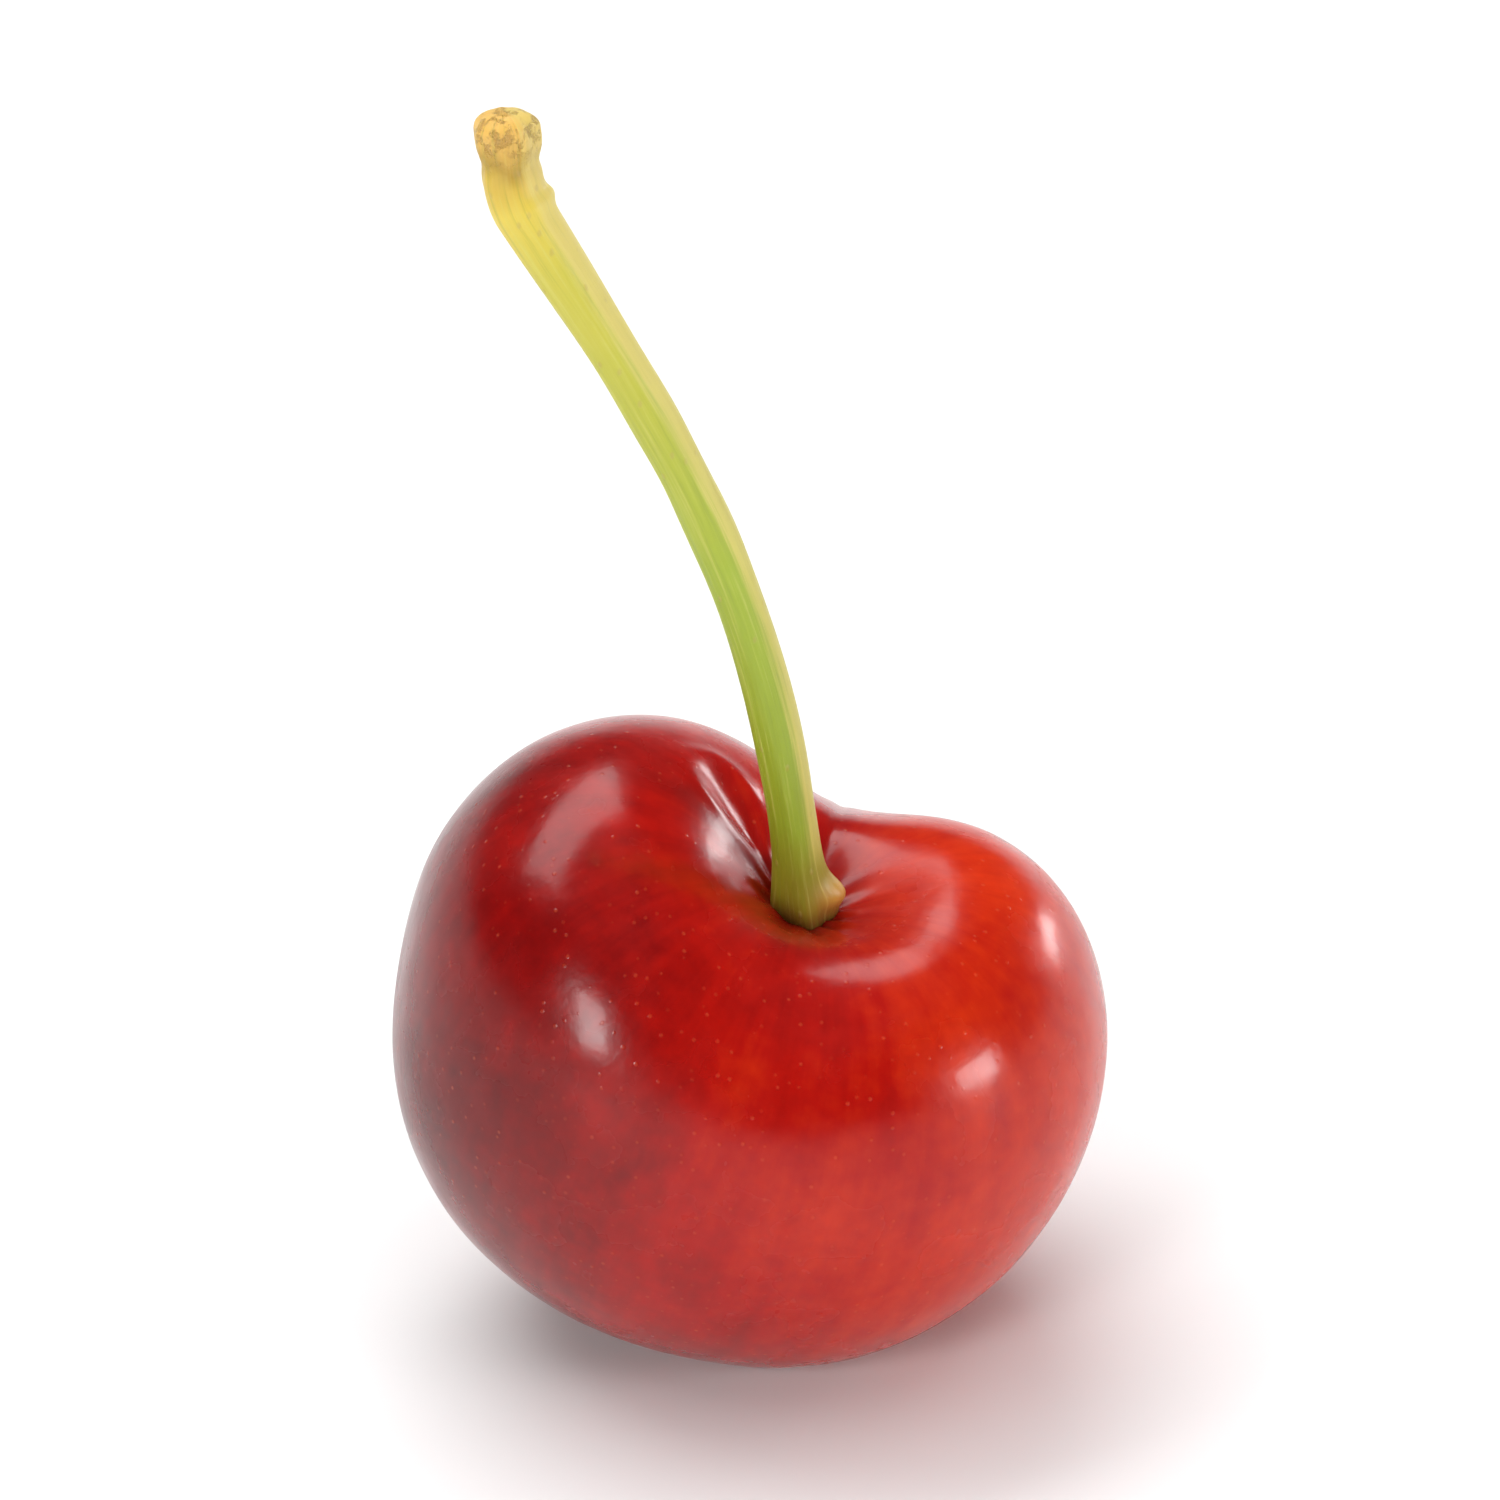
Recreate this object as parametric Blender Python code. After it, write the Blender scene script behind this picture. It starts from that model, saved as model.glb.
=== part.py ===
"""A sweet cherry on its stalk, resting on the flat under the fruit.

Metres, +Z up. The origin is the middle of the flat that the cherry rests on.
The fruit leans a little forward (-Y) and to the right (+X). Its stalk stands in
the cavity between the two shoulders, rises, and bends back to the left.
"""

import math

import bmesh
import bpy
from mathutils import Matrix, Vector

MM = 0.001

# Fruit body, in its own frame: +Z points up the stalk and the shoulders lie along X.
HALF_WIDTH = 12.45 * MM
HALF_DEPTH = 11.1 * MM
TOP_HEIGHT = 9.9 * MM
TIP_HEIGHT = 11.7 * MM
SQUARENESS = 2.12

# Stalk cavity, as a share of the body's radius and an angle from the stalk axis.
CAVITY_DEPTH = 0.41
CAVITY_ANGLE = math.radians(25)
CAVITY_FLATNESS = 2.4

# Valley between the shoulders: deep on the suture side at the back, faint at the front.
VALLEY_TURN = math.radians(-11.5)
VALLEY_WIDTH = 0.40
VALLEY_BLEND = 0.30
VALLEY_CLEAR_OF_AXIS = 0.06
BACK_VALLEY_DEPTH = 0.225
BACK_VALLEY_ANGLE = math.radians(43)
BACK_VALLEY_SPREAD = math.radians(34)
FRONT_VALLEY_DEPTH = 0.10
FRONT_VALLEY_ANGLE = math.radians(34)
FRONT_VALLEY_SPREAD = math.radians(23)

# Shoulders: the one on the left (-X) is the fuller.
SHOULDER_RISE = 0.084
SHOULDER_ANGLE = math.radians(50)
SHOULDER_SPREAD = math.radians(27.5)
SHOULDER_BIAS = 0.45

# Blunt tip, with the small scar that the flower left.
TIP_BLUNTING = 0.05
TIP_ANGLE = math.radians(19.5)

# How the fruit sits.
LEAN_FORWARD = math.radians(10.5)
LEAN_RIGHT = math.radians(17.5)
REST_FLAT_SINK = 0.7 * MM

# Stalk, from its foot in the cavity to the blunt cap where it was picked.
STALK_LENGTH = 33.6 * MM
STALK_RADIUS = 0.84 * MM
FOOT_RADIUS = 1.10 * MM
FOOT_FLARE_LENGTH = 1.6 * MM
FOOT_ROUNDING = 0.5 * MM
NECK_SWELL = 0.22 * MM
NECK_START = 0.62
CAP_RADIUS = 1.10 * MM
CAP_LENGTH = 1.9 * MM
CAP_ROUNDING = 0.7 * MM
CREASE_DEPTH = 0.10 * MM
CREASE_LENGTH = 0.35 * MM
STALK_GAP = 0.5 * MM

# Direction of the stalk, as its lean from upright at the foot, along the shaft and at the cap.
FOOT_LEAN_LEFT = math.radians(5)
SHAFT_LEAN_LEFT = math.radians(31)
SHAFT_LEAN_START = 0.0
SHAFT_LEAN_END = 0.84
CAP_UPTURN = math.radians(25)
CAP_UPTURN_START = 0.87
CAP_UPTURN_END = 0.95
FOOT_LEAN_FORWARD = math.radians(10)
CAP_LEAN_BACK = math.radians(7)

FRUIT_SEGMENTS = 72
FRUIT_RINGS = 44
STALK_SEGMENTS = 16
STALK_RINGS = 64
DOME_RINGS = 6

SKIN_COLOUR = (0.42, 0.012, 0.008)
SKIN_ROUGHNESS = 0.18
STALK_COLOUR = (0.36, 0.42, 0.07)
STALK_ROUGHNESS = 0.45


def smoothstep(low, high, value):
    """0 below low, 1 above high, and a smooth rise between them."""
    share = min(max((value - low) / (high - low), 0.0), 1.0)
    return share * share * (3.0 - 2.0 * share)


def bell(offset, width):
    """1 at no offset, falling smoothly to nothing over about twice the width."""
    return math.exp(-((offset / width) ** 2))


def body_radius(direction):
    """Radius of the plain body: a rounded box-like egg, flatter on top than at the tip."""
    height = TOP_HEIGHT if direction.z > 0 else TIP_HEIGHT
    total = abs(direction.x / HALF_WIDTH) ** SQUARENESS
    total += abs(direction.y / HALF_DEPTH) ** SQUARENESS
    total += abs(direction.z / height) ** SQUARENESS
    return total ** (-1.0 / SQUARENESS)


def cavity_factor(from_axis):
    return 1.0 - CAVITY_DEPTH * math.exp(-((from_axis / CAVITY_ANGLE) ** CAVITY_FLATNESS))


def valley_factor(direction, from_axis):
    """Share of the radius left by the valley, which runs back to front over the top."""
    across = direction.x * math.cos(VALLEY_TURN) + direction.y * math.sin(VALLEY_TURN)
    along = direction.y * math.cos(VALLEY_TURN) - direction.x * math.sin(VALLEY_TURN)
    at_back = smoothstep(-VALLEY_BLEND, VALLEY_BLEND, along)
    back = BACK_VALLEY_DEPTH * bell(from_axis - BACK_VALLEY_ANGLE, BACK_VALLEY_SPREAD)
    front = FRONT_VALLEY_DEPTH * bell(from_axis - FRONT_VALLEY_ANGLE, FRONT_VALLEY_SPREAD)
    off_axis = along * along / (along * along + VALLEY_CLEAR_OF_AXIS)
    depth = (back * at_back + front * (1.0 - at_back)) * off_axis
    return 1.0 - depth * bell(across, VALLEY_WIDTH)


def shoulder_factor(direction, from_axis):
    equator = math.hypot(direction.x, direction.y)
    side = direction.x / equator if equator > 0 else 0.0
    rise = SHOULDER_RISE * side * side * (1.0 - SHOULDER_BIAS * side)
    return 1.0 + rise * bell(from_axis - SHOULDER_ANGLE, SHOULDER_SPREAD)


def tip_factor(from_axis):
    return 1.0 - TIP_BLUNTING * bell(math.pi - from_axis, TIP_ANGLE)


def fruit_radius(direction):
    """Distance from the middle of the fruit to its skin, along a unit direction."""
    from_axis = math.acos(min(max(direction.z, -1.0), 1.0))
    radius = body_radius(direction) * cavity_factor(from_axis)
    radius *= valley_factor(direction, from_axis) * shoulder_factor(direction, from_axis)
    return radius * tip_factor(from_axis)


def fruit_mesh(lean):
    """The fruit about its own middle, with the rest flat cut level for the given lean."""
    shape = bmesh.new()
    bmesh.ops.create_uvsphere(shape, u_segments=FRUIT_SEGMENTS, v_segments=FRUIT_RINGS, radius=1)
    for vertex in shape.verts:
        direction = vertex.co.normalized()
        vertex.co = direction * fruit_radius(direction)
    down = lean.transposed() @ Vector((0, 0, -1))
    deepest = max(vertex.co.dot(down) for vertex in shape.verts)
    cut = bmesh.ops.bisect_plane(
        shape,
        geom=shape.verts[:] + shape.edges[:] + shape.faces[:],
        plane_co=down * (deepest - REST_FLAT_SINK),
        plane_no=down,
        clear_outer=True,
    )
    rim = [item for item in cut["geom_cut"] if isinstance(item, bmesh.types.BMEdge)]
    flat = bmesh.ops.edgeloop_fill(shape, edges=rim)["faces"][0]
    bmesh.ops.recalc_face_normals(shape, faces=shape.faces[:])
    for face in shape.faces:
        face.smooth = face != flat
    for edge in flat.edges:
        edge.smooth = False
    return shape, flat.calc_center_median()


def stalk_radius(along):
    """Radius of the stalk at a distance along it from the foot."""
    share = along / STALK_LENGTH
    from_cap_end = STALK_LENGTH - along
    flare = (FOOT_RADIUS - STALK_RADIUS) * bell(along, FOOT_FLARE_LENGTH)
    neck = NECK_SWELL * smoothstep(NECK_START, 1.0, share)
    cap = (CAP_RADIUS - STALK_RADIUS - NECK_SWELL) * smoothstep(CAP_LENGTH, CAP_LENGTH / 2, from_cap_end)
    crease = CREASE_DEPTH * bell(from_cap_end - CAP_LENGTH, CREASE_LENGTH)
    return STALK_RADIUS + flare + neck + cap - crease


def stalk_direction(share):
    """Unit direction of the stalk at a share of its length."""
    bend = smoothstep(SHAFT_LEAN_START, SHAFT_LEAN_END, share)
    left = FOOT_LEAN_LEFT + (SHAFT_LEAN_LEFT - FOOT_LEAN_LEFT) * bend
    left -= CAP_UPTURN * smoothstep(CAP_UPTURN_START, CAP_UPTURN_END, share)
    forward = FOOT_LEAN_FORWARD - (FOOT_LEAN_FORWARD + CAP_LEAN_BACK) * smoothstep(0, 1, share)
    return Vector((-math.tan(left), -math.tan(forward), 1.0)).normalized()


def rounded_end(from_end, rounding, radius):
    """Radius of a ring near a domed end, where the dome is `rounding` long."""
    if from_end >= rounding:
        return radius
    return radius * math.sqrt(1.0 - (1.0 - from_end / rounding) ** 2)


def ring_distances():
    """Distances along the stalk of its rings: close together in the two domed ends."""
    dome_heights = [1.0 - math.cos(math.pi / 2 * step / DOME_RINGS) for step in range(1, DOME_RINGS)]
    for height in dome_heights:
        yield FOOT_ROUNDING * height
    body = STALK_LENGTH - FOOT_ROUNDING - CAP_ROUNDING
    for step in range(STALK_RINGS + 1):
        yield FOOT_ROUNDING + body * step / STALK_RINGS
    for height in reversed(dome_heights):
        yield STALK_LENGTH - CAP_ROUNDING * height


def stalk_mesh():
    """The stalk from its foot at the origin, as rings bridged along its curve."""
    shape = bmesh.new()
    point = Vector((0, 0, 0))
    reached = 0.0
    previous = None
    for along in ring_distances():
        direction = stalk_direction((along + reached) / 2 / STALK_LENGTH)
        point = point + direction * (along - reached)
        reached = along
        radius = rounded_end(along, FOOT_ROUNDING, stalk_radius(along))
        radius = rounded_end(STALK_LENGTH - along, CAP_ROUNDING, radius)
        facing = stalk_direction(along / STALK_LENGTH)
        turn = Vector((0, 0, 1)).rotation_difference(facing).to_matrix().to_4x4()
        ring = bmesh.ops.create_circle(
            shape,
            segments=STALK_SEGMENTS,
            radius=radius,
            matrix=Matrix.Translation(point) @ turn,
        )["verts"]
        edges = list({edge for vertex in ring for edge in vertex.link_edges})
        if previous is None:
            bmesh.ops.edgeloop_fill(shape, edges=edges)
        else:
            bmesh.ops.bridge_loops(shape, edges=previous + edges)
        previous = edges
    bmesh.ops.edgeloop_fill(shape, edges=previous)
    bmesh.ops.recalc_face_normals(shape, faces=shape.faces[:])
    for face in shape.faces:
        face.smooth = True
    return shape


def coloured(name, colour, roughness):
    material = bpy.data.materials.new(name)
    material.use_nodes = True
    shader = material.node_tree.nodes["Principled BSDF"]
    shader.inputs["Base Color"].default_value = (*colour, 1.0)
    shader.inputs["Roughness"].default_value = roughness
    shader.inputs["Metallic"].default_value = 0.0
    material.diffuse_color = (*colour, 1.0)
    return material


def add_object(name, shape, placement, material):
    mesh = bpy.data.meshes.new(name)
    shape.to_mesh(mesh)
    shape.free()
    mesh.materials.append(material)
    made = bpy.data.objects.new(name, mesh)
    bpy.context.scene.collection.objects.link(made)
    made.matrix_world = placement
    return made


def main():
    for existing in list(bpy.data.objects):
        bpy.data.objects.remove(existing, do_unlink=True)

    lean = Matrix.Rotation(LEAN_RIGHT, 3, "Y") @ Matrix.Rotation(LEAN_FORWARD, 3, "X")
    fruit_shape, flat_middle = fruit_mesh(lean)
    fruit_middle = -(lean @ flat_middle)
    fruit_placement = Matrix.Translation(fruit_middle) @ lean.to_4x4()
    skin = coloured("cherry_skin", SKIN_COLOUR, SKIN_ROUGHNESS)
    fruit = add_object("cherry_fruit", fruit_shape, fruit_placement, skin)

    upward = Vector((0, 0, 1))
    foot_height = fruit_radius(upward) + STALK_GAP
    foot = fruit_middle + lean @ (upward * foot_height)
    green = coloured("stalk_green", STALK_COLOUR, STALK_ROUGHNESS)
    stalk = add_object("stalk", stalk_mesh(), Matrix.Translation(foot), green)
    bpy.context.view_layer.update()
    stalk.parent = fruit
    stalk.matrix_parent_inverse = fruit.matrix_world.inverted()


main()
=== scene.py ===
"""Looks of a sweet cherry on its stalk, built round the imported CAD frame.

Metres, +Z up. The fruit and the stalk are finer meshes of the same curves as
the CAD solids, with the dents, folds, scars and colours that a real one has.
"""

import math

import bmesh
import bpy
import numpy as np
from mathutils import Matrix, Vector, noise


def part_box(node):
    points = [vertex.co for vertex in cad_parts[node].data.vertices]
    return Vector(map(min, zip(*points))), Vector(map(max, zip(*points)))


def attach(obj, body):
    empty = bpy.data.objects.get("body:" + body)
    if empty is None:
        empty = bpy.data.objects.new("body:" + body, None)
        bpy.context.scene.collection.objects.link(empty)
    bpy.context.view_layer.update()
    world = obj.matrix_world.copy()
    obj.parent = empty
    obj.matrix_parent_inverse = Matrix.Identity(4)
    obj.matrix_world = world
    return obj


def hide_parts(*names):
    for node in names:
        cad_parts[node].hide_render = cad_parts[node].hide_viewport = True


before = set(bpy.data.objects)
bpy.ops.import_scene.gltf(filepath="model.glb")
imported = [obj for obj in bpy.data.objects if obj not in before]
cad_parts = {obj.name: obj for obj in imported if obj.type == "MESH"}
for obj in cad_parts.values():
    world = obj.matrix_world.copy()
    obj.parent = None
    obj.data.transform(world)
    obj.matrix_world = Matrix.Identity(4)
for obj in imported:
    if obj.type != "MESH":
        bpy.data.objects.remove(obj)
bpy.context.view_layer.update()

MM = 0.001
TINY = 1e-6

# In the constants below, a pair of numbers says where something starts and where it is complete,
# unless the comment says otherwise. Bare angles are in radians.

# Fruit body, in its own frame: +Z points up the stalk and the shoulders lie along X.
HALF_WIDTH = 12.45 * MM
HALF_DEPTH = 11.1 * MM
TOP_HEIGHT = 9.9 * MM
TIP_HEIGHT = 11.7 * MM
SQUARENESS = 2.12
LEAN = Matrix.Rotation(math.radians(17.5), 3, "Y") @ Matrix.Rotation(math.radians(10.5), 3, "X")

# Stalk cavity, as a share of the body's radius and an angle from the stalk axis.
CAVITY_DEPTH = 0.41
CAVITY_ANGLE = math.radians(25)
CAVITY_FLATNESS = 2.4

# Valley between the shoulders: deep on the suture side at the back, faint at the front. Each side
# has a depth as a share of the radius, the angle from the stalk axis where it's deepest, and a spread.
VALLEY_TURN = math.radians(-11.5)
VALLEY_WIDTH = 0.40
VALLEY_BLEND = 0.30
VALLEY_CLEAR_OF_AXIS = 0.06
BACK_VALLEY = (0.225, math.radians(43), math.radians(34))
FRONT_VALLEY = (0.10, math.radians(34), math.radians(23))

# Shoulders: the one on the left (-X) is the fuller.
SHOULDER_RISE = 0.084
SHOULDER_ANGLE = math.radians(50)
SHOULDER_SPREAD = math.radians(27.5)
SHOULDER_BIAS = 0.45

# Blunt tip, with the small scar that the flower left.
TIP_BLUNTING = 0.05
TIP_ANGLE = math.radians(19.5)
SCAR_ANGLE = math.radians(3.4)
SCAR_DEPTH = 0.22 * MM
SCAR_FLATNESS = 4
SCAR_RIM_RISE = 0.35 * SCAR_DEPTH
SCAR_RIM_ANGLE = 1.25 * SCAR_ANGLE
SCAR_RIM_WIDTH = 0.35 * SCAR_ANGLE
SCAR_TINT_ANGLE = 1.3 * SCAR_ANGLE

# Fine shape of the skin. The swells and the suture fade out towards the cavity, over CAVITY_CALM. The
# suture also loses part of its strength towards the tip. SUTURE_START is in shares of the radius.
NOISE_SHIFT = Vector((17.3, 5.1, 29.7))
CAVITY_CALM = (math.radians(6), math.radians(24))
# The next angle sets how far from the stalk axis the painted shade that darkens the cavity reaches.
CAVITY_SHADE_ANGLE = math.radians(17)
SUTURE_DEPTH = 0.07 * MM
SUTURE_WIDTH = 0.26 * MM
SUTURE_TINT_WIDTH = 2.0 * SUTURE_WIDTH
SUTURE_START = (0.05, 0.3)
SUTURE_FADE = (1.2, 2.4)
SUTURE_LOSS = 0.75
SWELL_HEIGHT = 0.085 * MM
SWELL_LENGTH = 6.0 * MM
SWELL_SINK = 0.8
RIPPLE_HEIGHT = 0.014 * MM
RIPPLE_LENGTH = 1.7 * MM
PUCKER_COUNT = 11
PUCKER_WANDER = 2.0
PUCKER_WANDER_COUNT = 2
PUCKER_WANDER_PHASE = 1.0
PUCKER_HEIGHT = 0.07 * MM
PUCKER_ANGLE = math.radians(13)
PUCKER_SPREAD = PUCKER_ANGLE / 2
FOLD_AZIMUTH = math.radians(143)
FOLD_POLAR = math.radians(25)
FOLD_SPREAD = math.radians(6.5)
FOLD_DEPTH = 0.50 * MM
FOLD_FLATNESS = 3
FOLD_NARROWING = 1.25
FOLD_LIP = 0.16 * MM
FOLD_LIP_RADIUS = 1.35 * FOLD_SPREAD
FOLD_LIP_WIDTH = 0.40 * FOLD_SPREAD
FOLD_LIP_SIDE = (-0.4, 0.7)
REST_ROUNDING = 0.16 * MM

# Stalk, from its foot in the cavity to the blunt cap where it was picked.
STALK_LENGTH = 33.6 * MM
STALK_RADIUS = 0.84 * MM
STALK_GAP = 0.5 * MM
FOOT_RADIUS = 1.10 * MM
FOOT_FLARE_LENGTH = 1.6 * MM
NECK_SWELL = 0.22 * MM
NECK_START = 0.62
CAP_RADIUS = 1.10 * MM
CAP_LENGTH = 1.9 * MM
CAP_ROUNDING = 0.7 * MM
CREASE_DEPTH = 0.10 * MM
CREASE_LENGTH = 0.35 * MM
FOOT_LEAN_LEFT = math.radians(5)
SHAFT_LEAN_LEFT = math.radians(31)
SHAFT_LEAN_START = 0.0
SHAFT_LEAN_END = 0.84
CAP_UPTURN = math.radians(25)
CAP_UPTURN_START = 0.87
CAP_UPTURN_END = 0.95
FOOT_LEAN_FORWARD = math.radians(10)
CAP_LEAN_BACK = math.radians(7)

# Fine shape of the stalk. Places are shares of its length, and angles run round it from its right.
# A wander shifts a pattern by a sine, so that it doesn't look regular: the sine's reach and rate.
RIB_COUNT = 5
RIB_HEIGHT = 0.020 * MM
RIB_WANDER = (1.2, 5.0)
RIB_PHASE = 0.7
GROOVE_DEPTH = 0.055 * MM
GROOVE_ANGLE = 2.4
GROOVE_TWIST = 0.8
GROOVE_WIDTH = 0.30
GIRTH_CHANGE = 0.022 * MM
GIRTH_RATE = 31
GIRTH_WANDER = (1.3, 11)
GIRTH_START = (0.05, 0.2)
CAP_START = (0.90, 0.97)
CAP_HOLLOW = 0.022 * MM
KNOB_COUNT = 3
KNOB_HEIGHT = 0.075 * MM
KNOB_PHASE = 1.0
WART_COUNT = 7
WART_HEIGHT = 0.050 * MM
WART_TWIST = 40
FOOT_RIB_HEIGHT = 0.10 * MM
FOOT_RIB_LENGTH = 0.9 * MM
FOOT_RIB_PHASE = 0.6
LOBE_HEIGHT = 0.42 * MM
LOBE_ANGLE = -0.3
LOBE_WIDTH = 0.6
LOBE_MIDDLE = 0.55 * MM
LOBE_LENGTH = 0.55 * MM
LOBE_TINT_WIDTH = 0.7
LOBE_TINT_MIDDLE = 0.5 * MM
LOBE_TINT_LENGTH = 0.8 * MM
SCALE_MARK_HEIGHT = 0.10 * MM
SCALE_MARK_PLACE = 0.895
SCALE_MARK_LENGTH = 0.012
SCALE_MARK_UNEVENNESS = 0.8
SCALE_MARK_ANGLE = 0.5
THINNEST = 0.02 * MM

FRUIT_SEGMENTS = 320
FRUIT_RINGS = 220
STALK_SEGMENTS = 56
STALK_RINGS = 420
STALK_RING_CROWDING = 0.4

# Colours, in linear red, green and blue, and how strongly the smaller ones tint what is under them.
# SKIN_SHADES runs from the darkest skin to the brightest, spread as painted shade at the left and
# painted light at the right; STALK_COLOURS runs from the foot to the cap.
MAROON = (0.085, 0.0006, 0.0008)
DEEP_RED = (0.21, 0.0010, 0.0008)
RED = (0.38, 0.0036, 0.0010)
ORANGE_RED = (0.62, 0.030, 0.0025)
SKIN_SHADES = [(0.10, MAROON), (0.38, DEEP_RED), (0.60, RED), (0.92, ORANGE_RED)]
# The cavity colour is painted shade, darkening the skin in the stalk cavity.
CAVITY_SHADE_COLOUR = (0.10, 0.002, 0.003)
SUTURE_COLOUR = (0.13, 0.002, 0.003)
SCAR_COLOUR = (0.16, 0.07, 0.03)
SPECK_COLOUR = (0.80, 0.14, 0.05)
CAVITY_SHADE_TINT = 0.75
SUTURE_TINT = 0.32
SPECK_TINT = 0.17
STALK_COLOURS = [
    (0.00, (0.20, 0.10, 0.012)),
    (0.03, (0.24, 0.20, 0.012)),
    (0.12, (0.25, 0.33, 0.016)),
    (0.45, (0.33, 0.42, 0.030)),
    (0.80, (0.54, 0.49, 0.055)),
    (0.90, (0.70, 0.54, 0.070)),
    (0.935, (0.62, 0.42, 0.050)),
    (0.95, (0.44, 0.27, 0.025)),
    (0.97, (0.74, 0.44, 0.095)),
]
PALE_FIBRE = (0.62, 0.60, 0.16)
DARK_FIBRE = (0.20, 0.25, 0.02)
# Pale tan of the painted highlight along the stalk's right side.
PAINTED_HIGHLIGHT_COLOUR = (0.70, 0.56, 0.16)
LOBE_COLOUR = (0.62, 0.30, 0.06)
PORE_COLOUR = (0.45, 0.33, 0.10)
CORK_COLOUR = (0.34, 0.17, 0.04)
LOBE_TINT = 0.9
PORE_TINT = 0.35
CORK_TINT = 0.45
FLOOR_TONES = [(0.3, (0.88, 0.88, 0.88)), (0.7, (0.89, 0.89, 0.89))]

# Patterns in the materials: the sizes of their features, and how high their bumps are.
# Where along X the painted shade on the skin's left side is deepest, and where the painted light on its
# right side is full.
PAINTED_SHADE_SIDE = -1.15 * HALF_WIDTH
PAINTED_LIGHT_SIDE = 0.7 * HALF_WIDTH
PATCH_SIZE = 6.5 * MM
STREAK_STRETCH = (9.0, 9.0, 1.1)
MOTTLE_SIZE = 0.7 * MM
SPECK_SPACING = 0.40 * MM
SPECK_BUMP = 0.010 * MM
SMUDGE_SIZE = 3.0 * MM
PEEL_SIZE = 0.55 * MM
PEEL_BUMP = 0.012 * MM
DRIFT_SIZE = 3.5 * MM
FIBRE_STRETCH = (5.0, 5.0, 5.0)
FIBRE_BUMP = 0.05 * MM
PORE_STRETCH = (1.0, 1.0, 0.55)
PORE_SPACING = 0.55 * MM
PORE_BUMP = 0.02 * MM
CORK_SIZE = 0.45 * MM
CORK_BUMP = -0.08 * MM
FLOOR_GRAIN = 9.0 * MM

# Stage. A light's direction is from the lit point. One that isn't mirrored makes no highlight. The
# horizon and the sky each have a height, as the sine of an elevation, and a colour.
LIT_POINT = Vector((0.0, 0.0, 12 * MM))
LIGHTS = {
    "left_softbox": {
        "direction": (-0.45, -0.76, 0.38),
        "distance": 0.50,
        "size": (0.12, 0.17),
        "radiance": 17.0,
    },
    "right_softbox": {
        "direction": (0.92, -0.36, 0.24),
        "distance": 0.50,
        "size": (0.16, 0.10),
        "radiance": 17.0,
    },
    "right_back_light": {
        "direction": (0.72, 0.68, 0.14),
        "distance": 0.50,
        "size": (0.10, 0.07),
        "radiance": 12.0,
    },
    "overhead": {
        "direction": (-0.10, 0.06, 1.0),
        "distance": 1.70,
        "size": (2.60, 2.60),
        "radiance": 1.28,
        "mirrored": False,
    },
    "back_strip": {
        "direction": (-0.26, 0.36, 0.85),
        "distance": 0.70,
        "size": (0.80, 0.30),
        "radiance": 4.2,
    },
}
HORIZON = (0.04, (0.92, 0.92, 0.92))
UPPER_SKY = (0.22, (0.09, 0.09, 0.09))
CAMERA_ELEVATION = math.radians(30)
CAMERA_LENS_MM = 350
SENSOR_MM = 36
NEAREST_SEEN = 0.01
FRAME_FILL = 0.86
FLOOR_RADIUS = 0.5
FLOOR_SEGMENTS = 96


# Shape of the fruit -------------------------------------------------------------


def smoothstep(low, high, value):
    """0 below low, 1 above high, and a smooth rise between them."""
    share = np.clip((value - low) / (high - low), 0.0, 1.0)
    return share * share * (3.0 - 2.0 * share)


def bell(offset, width, flatness=2):
    """1 at no offset, falling smoothly to nothing over about twice the width.

    A higher flatness makes the top flatter and the sides steeper.
    """
    return np.exp(-((offset / width) ** flatness))


def valley_coordinates(direction):
    """How far a direction lies across the valley, and along it towards the back."""
    across = direction[..., 0] * math.cos(VALLEY_TURN) + direction[..., 1] * math.sin(VALLEY_TURN)
    along = direction[..., 1] * math.cos(VALLEY_TURN) - direction[..., 0] * math.sin(VALLEY_TURN)
    return across, along


def fruit_radius(direction):
    """Distance from the middle of the fruit to its smooth skin, along unit directions."""
    x, y, z = direction[..., 0], direction[..., 1], direction[..., 2]
    from_axis = np.arccos(np.clip(z, -1.0, 1.0))
    height = np.where(z > 0, TOP_HEIGHT, TIP_HEIGHT)
    total = np.abs(x / HALF_WIDTH) ** SQUARENESS
    total = total + np.abs(y / HALF_DEPTH) ** SQUARENESS
    total = total + np.abs(z / height) ** SQUARENESS
    radius = total ** (-1.0 / SQUARENESS)
    radius = radius * (1.0 - CAVITY_DEPTH * bell(from_axis, CAVITY_ANGLE, CAVITY_FLATNESS))

    across, along = valley_coordinates(direction)
    at_back = smoothstep(-VALLEY_BLEND, VALLEY_BLEND, along)
    back = BACK_VALLEY[0] * bell(from_axis - BACK_VALLEY[1], BACK_VALLEY[2])
    front = FRONT_VALLEY[0] * bell(from_axis - FRONT_VALLEY[1], FRONT_VALLEY[2])
    off_axis = along * along / (along * along + VALLEY_CLEAR_OF_AXIS)
    depth = (back * at_back + front * (1.0 - at_back)) * off_axis
    radius = radius * (1.0 - depth * bell(across, VALLEY_WIDTH))

    side = x / np.maximum(np.hypot(x, y), TINY)
    rise = SHOULDER_RISE * side * side * (1.0 - SHOULDER_BIAS * side)
    radius = radius * (1.0 + rise * bell(from_axis - SHOULDER_ANGLE, SHOULDER_SPREAD))
    return radius * (1.0 - TIP_BLUNTING * bell(math.pi - from_axis, TIP_ANGLE))


def noise_at(points, length, seed):
    """Smooth noise from -1 to 1 at each point, with features about `length` across."""
    shift = seed * NOISE_SHIFT
    values = [noise.noise(Vector(point) / length + shift) for point in points.reshape(-1, 3)]
    return np.array(values).reshape(points.shape[:-1])


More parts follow.
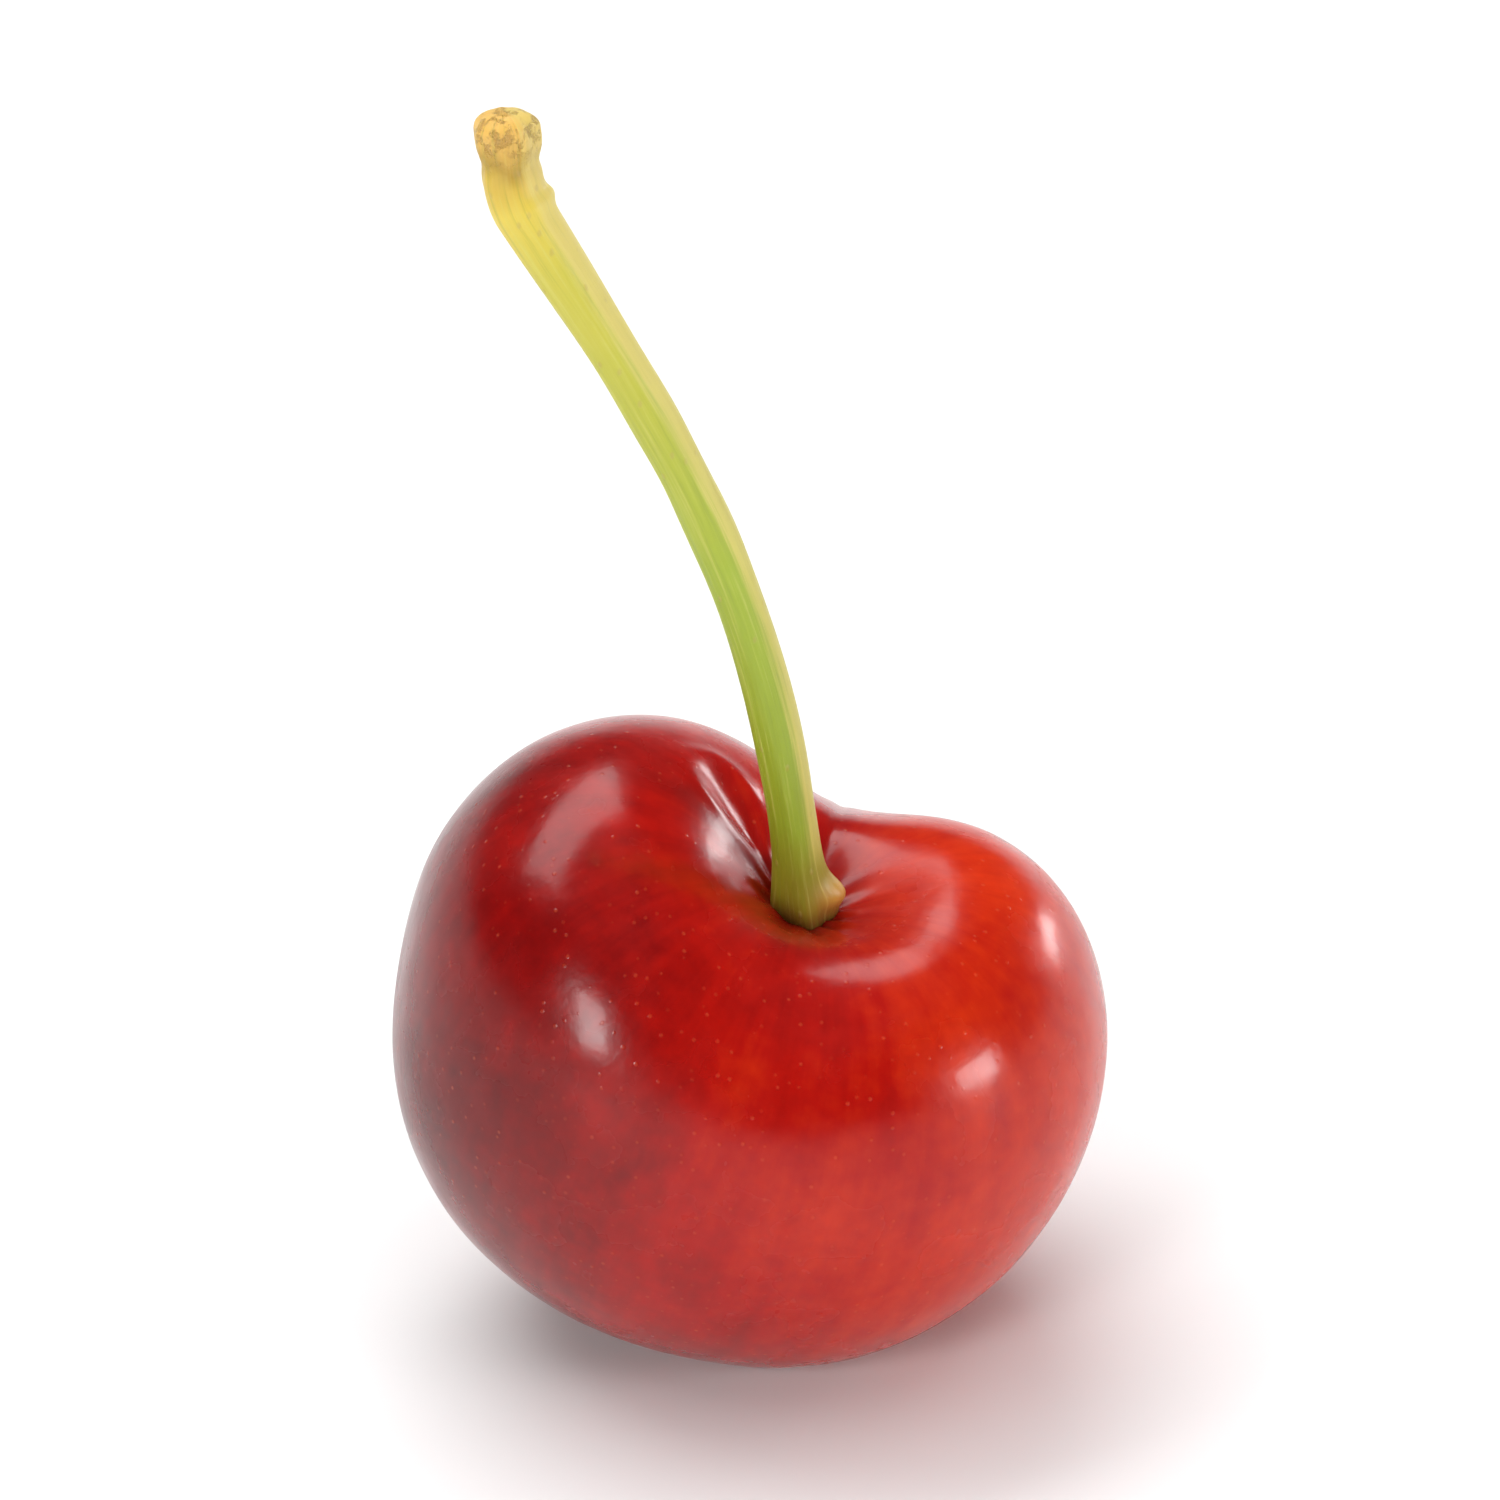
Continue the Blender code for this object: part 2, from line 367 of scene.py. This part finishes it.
def suture_strength(along, from_axis):
    """Strength of the suture line: only at the back, and fainter towards the tip."""
    lost = SUTURE_LOSS * smoothstep(*SUTURE_FADE, from_axis)
    return smoothstep(*SUTURE_START, along) * (1.0 - lost)


def turned_from(angle, middle):
    """How far an angle lies from a middle one, from minus a half turn to a half turn."""
    return np.angle(np.exp(1j * (angle - middle)))


def skin_detail(direction, radius):
    """What the real skin adds to the smooth curve, as a height along the radius.

    The swells are sunk by SWELL_SINK, so that the skin stays inside the box of the CAD fruit.
    """
    from_axis = np.arccos(np.clip(direction[..., 2], -1.0, 1.0))
    azimuth = np.arctan2(direction[..., 1], direction[..., 0])
    points = direction * radius[..., None]
    off_cavity = smoothstep(*CAVITY_CALM, from_axis)

    across, along = valley_coordinates(direction)
    suture = bell(across * radius, SUTURE_WIDTH) * suture_strength(along, from_axis)
    height = -SUTURE_DEPTH * suture * off_cavity
    height += SWELL_HEIGHT * (noise_at(points, SWELL_LENGTH, 1) - SWELL_SINK) * off_cavity
    height += RIPPLE_HEIGHT * noise_at(points, RIPPLE_LENGTH, 2)

    wander = PUCKER_WANDER * np.sin(PUCKER_WANDER_COUNT * azimuth + PUCKER_WANDER_PHASE)
    puckers = np.cos(PUCKER_COUNT * azimuth + wander)
    height += PUCKER_HEIGHT * puckers * bell(from_axis - PUCKER_ANGLE, PUCKER_SPREAD)

    turn = turned_from(azimuth, FOLD_AZIMUTH) * math.sin(FOLD_POLAR)
    out = from_axis - FOLD_POLAR
    away = np.hypot(FOLD_NARROWING * turn, out)
    outer_side = smoothstep(*FOLD_LIP_SIDE, out / np.maximum(away, TINY))
    height -= FOLD_DEPTH * bell(away, FOLD_SPREAD, FOLD_FLATNESS)
    height += FOLD_LIP * bell(away - FOLD_LIP_RADIUS, FOLD_LIP_WIDTH) * outer_side

    from_tip = math.pi - from_axis
    height -= SCAR_DEPTH * bell(from_tip, SCAR_ANGLE, SCAR_FLATNESS)
    height += SCAR_RIM_RISE * bell(from_tip - SCAR_RIM_ANGLE, SCAR_RIM_WIDTH)
    return height


def direction_grid(segments, rings):
    """Unit directions of a closed grid, with the azimuths in rows and the polar angles in columns."""
    azimuth = np.linspace(0.0, 2.0 * math.pi, segments, endpoint=False)[:, None]
    polar = np.linspace(0.0, math.pi, rings + 1)[None, 1:-1]
    flat = np.ones_like(azimuth)
    parts = (np.cos(azimuth) * np.sin(polar), np.sin(azimuth) * np.sin(polar), flat * np.cos(polar))
    return np.stack(parts, -1)


def capped_grid_faces(segments, columns, first_cap, last_cap):
    """Faces of a grid that closes round its rows and runs to a point at each end."""
    faces = []
    for row in range(segments):
        after = (row + 1) % segments
        here, there = row * columns, after * columns
        faces.append((first_cap, here, there))
        for column in range(columns - 1):
            faces.append((here + column, here + column + 1, there + column + 1, there + column))
        faces.append((here + columns - 1, last_cap, there + columns - 1))
    return faces


def fruit_middle():
    """Where the fruit's own middle lies, from the box of the CAD fruit."""
    direction = direction_grid(FRUIT_SEGMENTS, FRUIT_RINGS).reshape(-1, 3)
    leaning = placed(direction * fruit_radius(direction)[:, None], LEAN.to_4x4())
    low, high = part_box("cherry_fruit")
    offset = (np.array(low) + np.array(high) - leaning.min(0) - leaning.max(0)) / 2
    return Vector((offset[0], offset[1], high[2] - leaning[:, 2].max()))


def rest_on_floor(points):
    """Points pressed flat, with a soft edge, where they would go under the floor."""
    z = points[:, 2]
    points[:, 2] = (z + np.sqrt(z * z + REST_ROUNDING**2)) / 2
    points[:, 2] -= points[:, 2].min()
    return points


def add_attribute(mesh, name, kind, values):
    """Values at the vertices of a mesh, for its material to read."""
    layer = mesh.attributes.new(name, kind, "POINT")
    field = "vector" if kind == "FLOAT_VECTOR" else "value"
    layer.data.foreach_set(field, np.asarray(values, np.float32).ravel())


def placed(points, placement):
    """Points of a piece's own frame, in the row frame."""
    matrix = np.array(placement)
    return points @ matrix[:3, :3].T + matrix[:3, 3]


def add_piece(name, points, faces, material):
    """A smooth mesh object with its normals facing out."""
    mesh = bpy.data.meshes.new(name)
    mesh.from_pydata(points.tolist(), [], faces)
    shape = bmesh.new()
    shape.from_mesh(mesh)
    bmesh.ops.recalc_face_normals(shape, faces=shape.faces[:])
    shape.to_mesh(mesh)
    shape.free()
    mesh.shade_smooth()
    mesh.materials.append(material)
    piece = bpy.data.objects.new(name, mesh)
    bpy.context.scene.collection.objects.link(piece)
    return piece


def make_fruit(middle, material):
    """The fruit, with attributes that tell its material where the cavity (for its painted shade),
    suture and scar are.
    """
    placement = Matrix.Translation(middle) @ LEAN.to_4x4()
    grid = direction_grid(FRUIT_SEGMENTS, FRUIT_RINGS)
    columns = grid.shape[1]
    poles = np.array([[0.0, 0.0, 1.0], [0.0, 0.0, -1.0]])
    direction = np.concatenate([grid.reshape(-1, 3), poles])
    radius = fruit_radius(direction)
    height = skin_detail(direction, radius)
    points = rest_on_floor(placed(direction * (radius + height)[:, None], placement))
    count = len(direction)
    faces = capped_grid_faces(FRUIT_SEGMENTS, columns, count - 2, count - 1)
    fruit = add_piece("cherry_skin", points, faces, material)

    from_axis = np.arccos(np.clip(direction[:, 2], -1.0, 1.0))
    level = np.maximum(np.hypot(direction[:, 0], direction[:, 1]), TINY)
    meridian = np.stack([direction[:, 0] / level, direction[:, 1] / level, from_axis], -1)
    across, along = valley_coordinates(direction)
    suture = bell(across * radius, SUTURE_TINT_WIDTH) * suture_strength(along, from_axis)
    add_attribute(fruit.data, "meridian", "FLOAT_VECTOR", meridian)
    add_attribute(fruit.data, "cavity", "FLOAT", bell(from_axis, CAVITY_SHADE_ANGLE))
    add_attribute(fruit.data, "suture", "FLOAT", suture)
    add_attribute(fruit.data, "scar", "FLOAT", bell(math.pi - from_axis, SCAR_TINT_ANGLE))
    return fruit


# Shape of the stalk -------------------------------------------------------------


def stalk_radius(along):
    """Radius of the plain stalk at distances along it from the foot."""
    from_cap_end = STALK_LENGTH - along
    flare = (FOOT_RADIUS - STALK_RADIUS) * bell(np.maximum(along, 0.0), FOOT_FLARE_LENGTH)
    neck = NECK_SWELL * smoothstep(NECK_START, 1.0, along / STALK_LENGTH)
    at_cap = smoothstep(CAP_LENGTH, CAP_LENGTH / 2, from_cap_end)
    cap = (CAP_RADIUS - STALK_RADIUS - NECK_SWELL) * at_cap
    crease = CREASE_DEPTH * bell(from_cap_end - CAP_LENGTH, CREASE_LENGTH)
    return STALK_RADIUS + flare + neck + cap - crease


def stalk_direction(share):
    """Unit directions of the stalk at shares of its length."""
    bend = smoothstep(SHAFT_LEAN_START, SHAFT_LEAN_END, share)
    left = FOOT_LEAN_LEFT + (SHAFT_LEAN_LEFT - FOOT_LEAN_LEFT) * bend
    left = left - CAP_UPTURN * smoothstep(CAP_UPTURN_START, CAP_UPTURN_END, share)
    forward = FOOT_LEAN_FORWARD - (FOOT_LEAN_FORWARD + CAP_LEAN_BACK) * smoothstep(0.0, 1.0, share)
    direction = np.stack([-np.tan(left), -np.tan(forward), np.ones_like(share)], -1)
    return direction / np.linalg.norm(direction, axis=-1, keepdims=True)


def stalk_detail(along, angle):
    """What the real stalk adds to the plain tube: ribs, an uneven girth, and a knobbly cap and foot."""
    share = along / STALK_LENGTH
    at_cap = smoothstep(*CAP_START, share)
    at_foot = bell(np.maximum(along, 0.0), FOOT_RIB_LENGTH)

    wander = RIB_WANDER[0] * np.sin(RIB_WANDER[1] * share)
    ribs = RIB_HEIGHT * np.cos(RIB_COUNT * angle + wander + RIB_PHASE)
    groove_angle = GROOVE_ANGLE + GROOVE_TWIST * share
    groove = -GROOVE_DEPTH * bell(turned_from(angle, groove_angle), GROOVE_WIDTH)
    wander = GIRTH_WANDER[0] * np.sin(GIRTH_WANDER[1] * share)
    girth = GIRTH_CHANGE * np.sin(GIRTH_RATE * share + wander) * smoothstep(*GIRTH_START, share)

    knobs = KNOB_HEIGHT * np.sin(KNOB_COUNT * angle + KNOB_PHASE) * at_cap
    knobs += WART_HEIGHT * np.sin(WART_COUNT * angle + WART_TWIST * share) * at_cap
    foot_ribs = FOOT_RIB_HEIGHT * np.cos(RIB_COUNT * angle + FOOT_RIB_PHASE) * at_foot
    lobe = LOBE_HEIGHT * bell(turned_from(angle, LOBE_ANGLE), LOBE_WIDTH)
    lobe = lobe * bell(along - LOBE_MIDDLE, LOBE_LENGTH)
    mark = SCALE_MARK_HEIGHT * bell(share - SCALE_MARK_PLACE, SCALE_MARK_LENGTH)
    mark = mark * (1.0 + SCALE_MARK_UNEVENNESS * np.cos(angle - SCALE_MARK_ANGLE))
    return ribs + groove * (1.0 - at_cap) + girth + knobs + (foot_ribs + lobe) + mark


def stalk_rings():
    """Distances along the stalk of its rings, close together at the foot and the cap."""
    share = np.linspace(0.0, 1.0, STALK_RINGS)
    crowded = 0.5 - 0.5 * np.cos(math.pi * share)
    share = (1.0 - STALK_RING_CROWDING) * share + STALK_RING_CROWDING * crowded
    return -STALK_GAP + (STALK_LENGTH + STALK_GAP) * share


def make_stalk(middle, material):
    """The stalk: rings round a curved middle line that starts in the cavity of the fruit."""
    cavity_floor = float(fruit_radius(np.array([0.0, 0.0, 1.0])))
    foot = middle + LEAN @ Vector((0.0, 0.0, cavity_floor + STALK_GAP))
    along = stalk_rings()
    direction = stalk_direction(np.clip(along / STALK_LENGTH, 0.0, 1.0))
    steps = (direction[1:] + direction[:-1]) / 2 * np.diff(along)[:, None]
    start = direction[:1] * along[0]
    spine = np.concatenate([start, start + np.cumsum(steps, 0)])

    right = np.cross(np.array([0.0, 1.0, 0.0]), direction)
    right /= np.linalg.norm(right, axis=-1, keepdims=True)
    back = np.cross(direction, right)
    angle = np.linspace(0.0, 2.0 * math.pi, STALK_SEGMENTS, endpoint=False)[:, None]
    girth = stalk_radius(along)[None] + stalk_detail(along[None], angle)
    to_end = np.clip((STALK_LENGTH - along) / CAP_ROUNDING, 0.0, 1.0)
    girth = girth * np.sqrt(np.maximum(1.0 - (1.0 - to_end) ** 2, 0.0))[None]
    girth = np.maximum(girth, THINNEST)
    ring = np.cos(angle)[..., None] * right[None] + np.sin(angle)[..., None] * back[None]
    skin = spine[None] + ring * girth[..., None]

    ends = np.stack([spine[0], spine[-1] - direction[-1] * CAP_HOLLOW])
    points = np.concatenate([skin.reshape(-1, 3), ends])
    count = len(points)
    faces = capped_grid_faces(STALK_SEGMENTS, len(along), count - 2, count - 1)
    stalk = add_piece("stalk_shaft", placed(points, Matrix.Translation(foot)), faces, material)

    shares = np.tile(along / STALK_LENGTH, (STALK_SEGMENTS, 1))
    turns = np.broadcast_to(angle, shares.shape)
    fibre = np.stack([np.cos(turns), np.sin(turns), shares], -1).reshape(-1, 3)
    fibre = np.concatenate([fibre, [[0.0, 0.0, 0.0], [0.0, 0.0, 1.0]]])
    add_attribute(stalk.data, "fibre", "FLOAT_VECTOR", fibre)
    add_attribute(stalk.data, "along", "FLOAT", fibre[:, 2])
    lobe = bell(turned_from(turns, LOBE_ANGLE), LOBE_TINT_WIDTH)
    lobe = lobe * bell(along - LOBE_TINT_MIDDLE, LOBE_TINT_LENGTH)
    add_attribute(stalk.data, "lobe", "FLOAT", np.concatenate([lobe.reshape(-1), [0.0, 0.0]]))
    return stalk


# Materials ----------------------------------------------------------------------


class Surface:
    """A new material and short ways to add nodes to it."""

    def __init__(self, name):
        self.material = bpy.data.materials.new(name)
        self.material.use_nodes = True
        self.tree = self.material.node_tree
        self.shader = self.tree.nodes["Principled BSDF"]
        self.coordinates = self.node("ShaderNodeTexCoord").outputs["Object"]

    def node(self, kind, inputs=None, **settings):
        made = self.tree.nodes.new(kind)
        for key, value in settings.items():
            setattr(made, key, value)
        for key, value in (inputs or {}).items():
            self.feed(made.inputs[key], value)
        return made

    def feed(self, socket, value):
        if isinstance(value, bpy.types.NodeSocket):
            self.tree.links.new(value, socket)
        else:
            socket.default_value = value

    def attribute(self, name, output="Fac"):
        return self.node("ShaderNodeAttribute", attribute_name=name).outputs[output]

    def stretched(self, vector, scale):
        settings = {"Vector": vector, "Scale": scale}
        return self.node("ShaderNodeMapping", settings).outputs["Vector"]

    def noise(self, vector, size, detail=2.0, roughness=0.5):
        """Noise with features about `size` across, from 0 to 1."""
        settings = {"Vector": vector, "Scale": 1.0 / size, "Detail": detail, "Roughness": roughness}
        return self.node("ShaderNodeTexNoise", settings).outputs["Fac"]

    def cells(self, vector, size, output="Distance"):
        settings = {"Vector": vector, "Scale": 1.0 / size, "Randomness": 1.0}
        return self.node("ShaderNodeTexVoronoi", settings).outputs[output]

    def maths(self, operation, first, second=0.0, third=0.0):
        made = self.node("ShaderNodeMath", operation=operation)
        for socket, value in zip(made.inputs, (first, second, third)):
            self.feed(socket, value)
        return made.outputs[0]

    def times(self, value, factor):
        return self.maths("MULTIPLY", value, factor)

    def varied(self, value, pattern, amount):
        """A value moved up and down by a pattern that runs from 0 to 1."""
        return self.maths("MULTIPLY_ADD", self.maths("SUBTRACT", pattern, 0.5), amount, value)

    def x_of(self, vector):
        return self.node("ShaderNodeSeparateXYZ", {"Vector": vector}).outputs["X"]

    def between(self, value, low, high, to_low=0.0, to_high=1.0):
        """A value's smooth place between low and high, as a number from to_low to to_high."""
        settings = {"Value": value, "From Min": low, "From Max": high}
        settings.update({"To Min": to_low, "To Max": to_high})
        made = self.node("ShaderNodeMapRange", settings, interpolation_type="SMOOTHSTEP")
        return made.outputs["Result"]

    def ramp(self, value, stops):
        made = self.node("ShaderNodeValToRGB", {"Fac": value})
        points = made.color_ramp.elements
        while len(points) < len(stops):
            points.new(0.5)
        for point, (place, colour) in zip(points, stops):
            point.position = place
            point.color = (*colour, 1.0)
        return made.outputs["Color"]

    def mixed(self, share, first, second):
        made = self.node("ShaderNodeMix", data_type="RGBA")
        self.feed(made.inputs["Factor"], share)
        for key, value in (("A", first), ("B", second)):
            socket = next(s for s in made.inputs if s.name == key and s.type == "RGBA")
            self.feed(socket, (*value, 1.0) if isinstance(value, tuple) else value)
        return next(s for s in made.outputs if s.type == "RGBA")

    def bump(self, height, distance, strength=1.0, normal=None):
        settings = {"Height": height, "Distance": distance, "Strength": strength}
        if normal is not None:
            settings["Normal"] = normal
        return self.node("ShaderNodeBump", settings).outputs["Normal"]

    def finish(self, **inputs):
        for key, value in inputs.items():
            self.feed(self.shader.inputs[key.replace("_", " ")], value)
        return self.material


def skin_material():
    """Glossy skin, painted darker towards maroon at the left as shade and brighter towards orange red
    at the right as light, with fine pale specks.
    """
    skin = Surface("cherry_skin_look")
    place = skin.coordinates
    meridian = skin.attribute("meridian", "Vector")

    # Painted shade and light: darker towards the left side and brighter towards the right, under random
    # patches, streaks and mottle of real tone.
    east = skin.x_of(place)
    tone_and_painted_light = skin.between(east, PAINTED_SHADE_SIDE, 0.0, to_low=0.16, to_high=0.60)
    tone_and_painted_light = skin.maths("ADD", tone_and_painted_light, skin.between(east, 0.0, PAINTED_LIGHT_SIDE, to_high=0.16))
    patches = skin.noise(place, PATCH_SIZE, detail=3.0, roughness=0.55)
    tone_and_painted_light = skin.varied(tone_and_painted_light, patches, amount=0.55)
    streaks = skin.noise(skin.stretched(meridian, STREAK_STRETCH), 1.0, detail=5.0, roughness=0.6)
    tone_and_painted_light = skin.varied(tone_and_painted_light, streaks, amount=0.30)
    mottle = skin.noise(place, MOTTLE_SIZE, detail=3.0)
    tone_and_painted_light = skin.varied(tone_and_painted_light, mottle, amount=0.22)
    colour = skin.ramp(tone_and_painted_light, SKIN_SHADES)

    # Painted shade: the stalk cavity is darkened towards deep maroon.
    cavity = skin.times(skin.attribute("cavity"), CAVITY_SHADE_TINT)
    colour = skin.mixed(cavity, colour, CAVITY_SHADE_COLOUR)
    suture = skin.times(skin.attribute("suture"), SUTURE_TINT)
    colour = skin.mixed(suture, colour, SUTURE_COLOUR)
    colour = skin.mixed(skin.attribute("scar"), colour, SCAR_COLOUR)

    # Each cell has one speck, and the cell's own random number makes it strong or faint.
    speck_far = skin.cells(place, SPECK_SPACING)
    cell_colour = skin.cells(place, SPECK_SPACING, "Color")
    cell_number = skin.node("ShaderNodeSeparateColor", {"Color": cell_colour}).outputs["Red"]
    speck_core = skin.between(speck_far, 0.25, 0.08)
    specks = skin.times(speck_core, skin.between(cell_number, 0.30, 0.95))
    colour = skin.mixed(skin.times(specks, SPECK_TINT), colour, SPECK_COLOUR)

    smudge = skin.noise(place, SMUDGE_SIZE, detail=4.0)
    roughness = skin.between(smudge, 0.3, 0.7, to_low=0.20, to_high=0.30)
    normal = skin.bump(skin.noise(place, PEEL_SIZE, detail=2.0), PEEL_BUMP)
    normal = skin.bump(specks, SPECK_BUMP, normal=normal)
    return skin.finish(
        Base_Color=colour,
        Roughness=roughness,
        Normal=normal,
        Subsurface_Weight=0.22,
        Subsurface_Radius=(1.0, 0.10, 0.04),
        Subsurface_Scale=1.6 * MM,
        Specular_IOR_Level=0.27,
        Coat_Weight=0.17,
        Coat_Roughness=0.11,
    )


def stalk_material():
    """Fibrous green, yellow towards the top, with tan pores, a corky cap and a painted highlight down
    its right side.
    """
    stalk = Surface("stalk_look")
    place = stalk.coordinates
    fibre = stalk.attribute("fibre", "Vector")
    along = stalk.attribute("along")

    drift = stalk.noise(place, DRIFT_SIZE, detail=3.0)
    colour = stalk.ramp(stalk.varied(along, drift, amount=0.10), STALK_COLOURS)
    lines = stalk.noise(stalk.stretched(fibre, FIBRE_STRETCH), 1.0, detail=5.0, roughness=0.65)
    colour = stalk.mixed(stalk.between(lines, 0.50, 0.72, to_high=0.45), colour, PALE_FIBRE)
    colour = stalk.mixed(stalk.between(lines, 0.50, 0.28, to_high=0.40), colour, DARK_FIBRE)

    # Above the foot the whole right side gets a painted highlight in pale tan. At the foot only the
    # lobe is tan, which is its own colour.
    rightness = stalk.varied(stalk.x_of(fibre), lines, amount=0.8)
    painted_highlight_side = stalk.between(rightness, 0.40, 0.85)
    painted_highlight = stalk.times(painted_highlight_side, stalk.between(along, 0.03, 0.10, to_high=0.65))
    colour = stalk.mixed(painted_highlight, colour, PAINTED_HIGHLIGHT_COLOUR)
    colour = stalk.mixed(stalk.times(stalk.attribute("lobe"), LOBE_TINT), colour, LOBE_COLOUR)

    pore_far = stalk.cells(stalk.stretched(place, PORE_STRETCH), PORE_SPACING)
    pores = stalk.between(pore_far, 0.20, 0.06)
    colour = stalk.mixed(stalk.times(pores, PORE_TINT), colour, PORE_COLOUR)
    cork = stalk.noise(place, CORK_SIZE, detail=4.0, roughness=0.7)
    at_cap = stalk.between(along, 0.93, 0.985)
    corky = stalk.times(stalk.between(cork, 0.48, 0.66), at_cap)
    colour = stalk.mixed(stalk.times(corky, CORK_TINT), colour, CORK_COLOUR)

    roughness = stalk.between(lines, 0.3, 0.7, to_low=0.36, to_high=0.52)
    normal = stalk.bump(lines, FIBRE_BUMP, strength=0.8)
    normal = stalk.bump(pores, PORE_BUMP, normal=normal)
    normal = stalk.bump(corky, CORK_BUMP, normal=normal)
    return stalk.finish(
        Base_Color=colour,
        Roughness=roughness,
        Normal=normal,
        Subsurface_Weight=0.15,
        Subsurface_Radius=(0.8, 1.0, 0.3),
        Subsurface_Scale=0.4 * MM,
    )


def floor_material():
    """Matt white, with a barely visible grain."""
    floor = Surface("pale_table")
    grain = floor.noise(floor.coordinates, FLOOR_GRAIN, detail=4.0)
    return floor.finish(Base_Color=floor.ramp(grain, FLOOR_TONES), Roughness=0.6)


# Stage --------------------------------------------------------------------------


def make_floor():
    """A flat disc, much wider than the view."""
    turns = np.linspace(0.0, 2.0 * math.pi, FLOOR_SEGMENTS, endpoint=False)
    rim = [(FLOOR_RADIUS * math.cos(turn), FLOOR_RADIUS * math.sin(turn), 0.0) for turn in turns]
    mesh = bpy.data.meshes.new("floor")
    mesh.from_pydata(rim, [], [tuple(range(len(rim)))])
    mesh.materials.append(floor_material())
    floor = bpy.data.objects.new("floor", mesh)
    bpy.context.scene.collection.objects.link(floor)
    return floor


def add_light(name, direction, distance, size, radiance, mirrored=True):
    """A rectangular soft light that faces the lit point, `radiance` times as bright as a white page."""
    width, height = size
    data = bpy.data.lights.new(name, "AREA")
    data.shape = "RECTANGLE"
    data.size = width
    data.size_y = height
    data.energy = radiance * math.pi * width * height
    light = bpy.data.objects.new(name, data)
    bpy.context.scene.collection.objects.link(light)
    heading = Vector(direction).normalized()
    light.location = LIT_POINT + heading * distance
    light.rotation_euler = heading.to_track_quat("Z", "Y").to_euler()
    light.visible_glossy = mirrored


def make_world():
    """A background that is about as bright as the floor at the horizon, and dim higher up."""
    world = bpy.data.worlds.new("studio")
    bpy.context.scene.world = world
    world.use_nodes = True
    tree = world.node_tree
    way = tree.nodes.new("ShaderNodeTexCoord").outputs["Generated"]
    split = tree.nodes.new("ShaderNodeSeparateXYZ")
    tree.links.new(way, split.inputs["Vector"])
    ramp = tree.nodes.new("ShaderNodeValToRGB")
    tree.links.new(split.outputs["Z"], ramp.inputs["Fac"])
    for stop, (height, colour) in zip(ramp.color_ramp.elements, (HORIZON, UPPER_SKY)):
        stop.position = height
        stop.color = (*colour, 1.0)
    background = tree.nodes["Background"]
    tree.links.new(ramp.outputs["Color"], background.inputs["Color"])
    background.inputs["Strength"].default_value = 1.0


def make_camera(pieces):
    """A long-lens camera in front of the object, framing all of it."""
    toward = Vector((0.0, -math.cos(CAMERA_ELEVATION), math.sin(CAMERA_ELEVATION)))
    up = Vector((0.0, math.sin(CAMERA_ELEVATION), math.cos(CAMERA_ELEVATION)))
    right = Vector((1.0, 0.0, 0.0))
    points = [piece.matrix_world @ v.co for piece in pieces for v in piece.data.vertices]
    spans = []
    middle = Vector((0.0, 0.0, 0.0))
    for way in (right, up, toward):
        reach = [point.dot(way) for point in points]
        spans.append(max(reach) - min(reach))
        middle += way * (max(reach) + min(reach)) / 2
    half_frame = max(spans[0], spans[1]) / 2 / FRAME_FILL
    distance = half_frame * 2 * CAMERA_LENS_MM / SENSOR_MM + spans[2] / 2

    data = bpy.data.cameras.new("camera")
    data.lens = CAMERA_LENS_MM
    data.sensor_width = SENSOR_MM
    data.clip_start = NEAREST_SEEN
    camera = bpy.data.objects.new("camera", data)
    bpy.context.scene.collection.objects.link(camera)
    camera.location = middle + toward * distance
    camera.rotation_euler = toward.to_track_quat("Z", "Y").to_euler()
    bpy.context.scene.camera = camera


middle = fruit_middle()
fruit = make_fruit(middle, skin_material())
stalk = make_stalk(middle, stalk_material())
for piece, node, finish in ((fruit, "cherry_fruit", "cherry_skin"), (stalk, "stalk", "stalk_green")):
    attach(piece, "root")
    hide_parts(node)

floor = make_floor()
for name, settings in LIGHTS.items():
    add_light(name, **settings)
make_world()
make_camera([fruit, stalk])
bpy.context.scene.view_settings.view_transform = "Standard"
